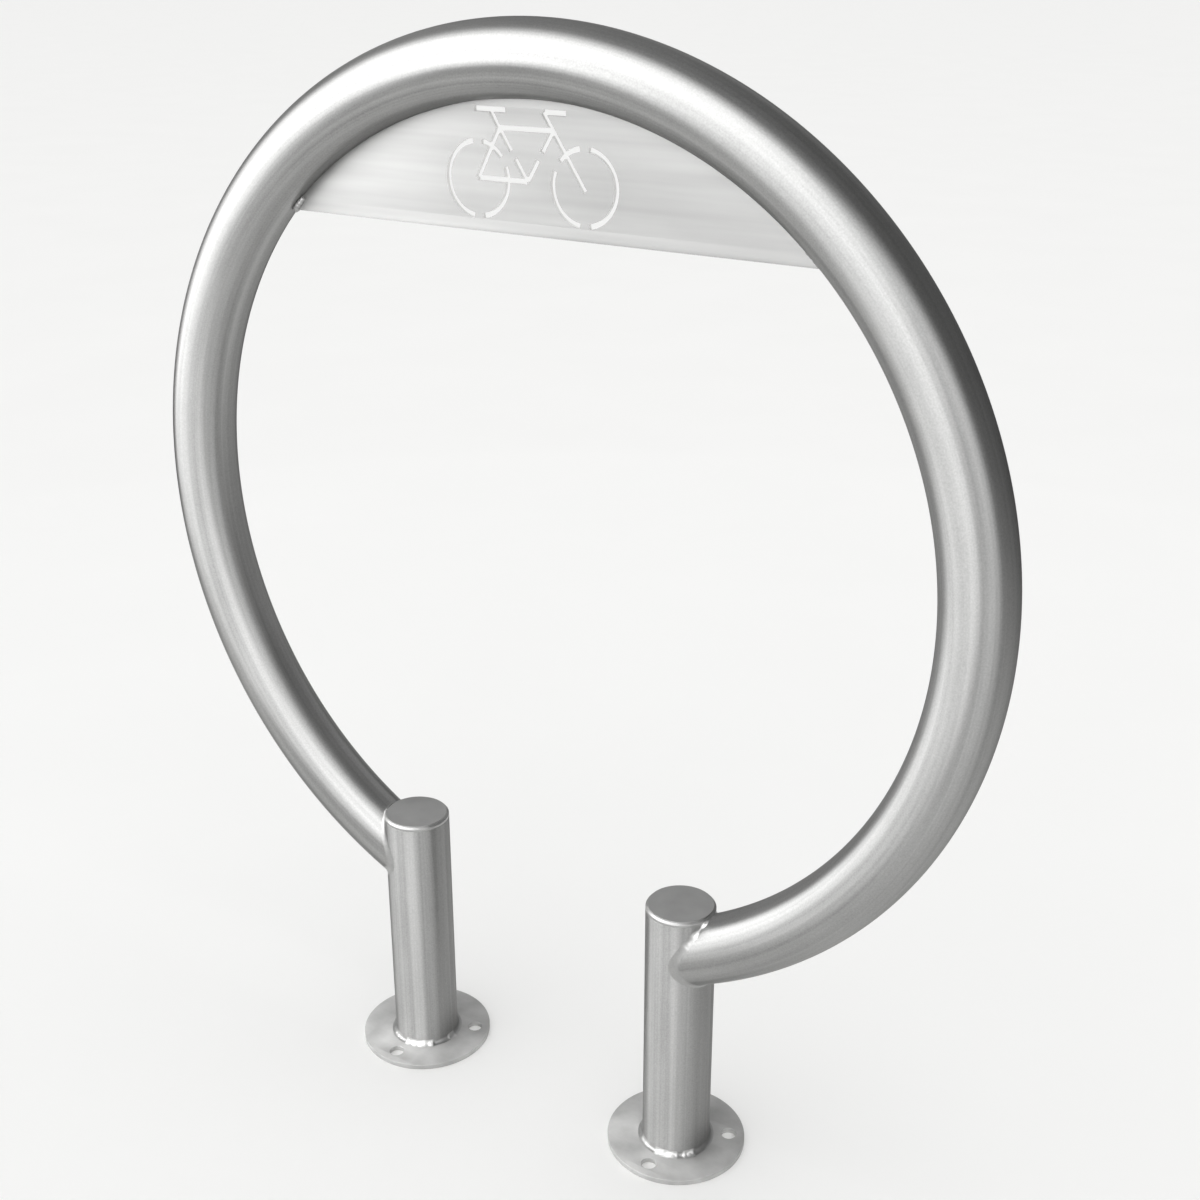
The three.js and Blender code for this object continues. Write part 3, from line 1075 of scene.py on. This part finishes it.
def make_plate_weld(side_name, side, seed):
    """A short bead from the plate's front face round its corner to its back face."""
    bead_radius, wander = BEAD_AT_PLATE[side_name]
    radius = hoop_radius - tube_radius - BEAD_STANDOFF * bead_radius * MM
    drop = plate_low.z - hoop_height
    corner = math.acos(drop / radius)
    path = []
    for k in range(2 * BEAD_HALF_STEPS + 1):
        share = k / BEAD_HALF_STEPS - 1
        angle = corner - BEAD_LENGTH * abs(share) * MM / radius
        y = math.copysign(min(abs(share) / BEAD_CORNER_SHARE, 1) * BEAD_OUT * MM, share)
        path.append((side * radius * math.sin(angle), y, hoop_height + radius * math.cos(angle)))
    make_weld(f"{side_name}_plate_weld", wire("plate", path, BEAD_LUMPS), weld_bead, **{
        "Radius": bead_radius * MM, "Pitch": 4 * MM, "Ripple": 0.5 * MM, "Wander": wander * MM,
        "Seed": seed})


weld_surface = weld_surface_tree()
weld_bead = weld_bead_tree()
make_hoop()
make_plate()
for seed, (side_name, side) in enumerate((("left", -1), ("right", 1))):
    make_post(side_name, side * post_x)
    make_cap(side_name, side * post_x)
    make_flange(side_name, side * post_x)
    make_foot_weld(side_name, side * post_x, FOOT_SEED + seed)
    make_cap_weld(side_name, side * post_x, CAP_SEED + seed)
    make_saddle_weld(side_name, side, SADDLE_SEED + seed)
    make_plate_weld(side_name, side, PLATE_SEED + seed)


# Floor, light and camera

def make_floor():
    bm = bmesh.new()
    bmesh.ops.create_grid(bm, x_segments=1, y_segments=1, size=FLOOR_HALF_WIDTH)
    mesh = bpy.data.meshes.new("floor")
    bm.to_mesh(mesh)
    bm.free()
    mesh.materials.append(pale_floor_paint())
    floor = placed("floor", mesh)


def sky_window(azimuth, elevation, azimuths, elevations, blur):
    """1 inside a window of the sky and 0 outside it, with soft sides, in degrees."""
    inside = 1.0
    for value, (low, high) in ((azimuth, azimuths), (elevation, elevations)):
        off = (value - (low + high) / 2).of("ABSOLUTE")
        half = (high - low) / 2
        edge = value.nodes.call("ShaderNodeMapRange", {
            "Value": off, "From Min": half + blur, "From Max": half - blur,
        }, interpolation_type="SMOOTHSTEP")
        inside = edge * inside
    return inside


def make_tent():
    """The light tent close round the rack, which lights its metal and is seen only in it."""
    bm = bmesh.new()
    centre = Vector((0, 0, TENT_HEIGHT))
    bmesh.ops.create_uvsphere(
        bm, u_segments=TENT_SIDES, v_segments=TENT_SIDES // 2, radius=TENT_RADIUS)
    bmesh.ops.translate(bm, verts=bm.verts, vec=centre)
    mesh = bpy.data.meshes.new("light_tent")
    bm.to_mesh(mesh)
    bm.free()
    material = bpy.data.materials.new("light_tent")
    material.use_nodes = True
    material.cycles.emission_sampling = "NONE"
    nodes = Nodes(material.node_tree)
    place = nodes.call("ShaderNodeSeparateXYZ", {0: object_place(nodes)})
    x = place / TENT_RADIUS
    y = Sum(nodes, place.socket.node.outputs["Y"]) / TENT_RADIUS
    z = (Sum(nodes, place.socket.node.outputs["Z"]) - TENT_HEIGHT) / TENT_RADIUS
    azimuth = x.of("ARCTAN2", 0.0 - y) * math.degrees(1)
    elevation = z.of("ARCSINE") * math.degrees(1)
    level = TENT_BASE
    for azimuths, elevations, blur, radiance in TENT_WINDOWS.values():
        level = sky_window(azimuth, elevation, azimuths, elevations, blur) * radiance + level
    glow = nodes.call("ShaderNodeEmission", {"Strength": level})
    nodes.feed(material.node_tree.nodes["Material Output"].inputs["Surface"], glow)
    mesh.materials.append(material)
    tent = placed("light_tent", mesh)
    tent.visible_camera = False
    tent.visible_diffuse = False
    tent.visible_transmission = False
    tent.visible_volume_scatter = False
    tent.visible_shadow = False


def make_daylight():
    """Even white light from all round for the floor, where the metal sees the tent instead.

    The camera sees it as pale as the far floor, so that no horizon shows.
    """
    world = bpy.data.worlds.new("daylight")
    world.use_nodes = True
    nodes = Nodes(world.node_tree)
    background = world.node_tree.nodes["Background"]
    background.inputs["Color"].default_value = (1, 1, 1, 1)
    seen = nodes.call("ShaderNodeLightPath", {}, output="Is Camera Ray")
    nodes.feed(background.inputs["Strength"], 1.0 - seen * (1.0 - HORIZON_TONE))
    bpy.context.scene.world = world
    world.cycles_visibility.glossy = False


def make_camera():
    data = bpy.data.cameras.new("camera")
    data.sensor_width = CAMERA_SENSOR
    data.lens = CAMERA_LENS
    camera = bpy.data.objects.new("camera", data)
    bpy.context.scene.collection.objects.link(camera)
    camera.location = CAMERA_PLACE
    camera.rotation_euler = (math.radians(90 + CAMERA_PITCH), 0, math.radians(CAMERA_YAW))
    bpy.context.scene.camera = camera


make_floor()
make_tent()
make_daylight()
make_camera()
bpy.context.scene.view_settings.view_transform = "Standard"
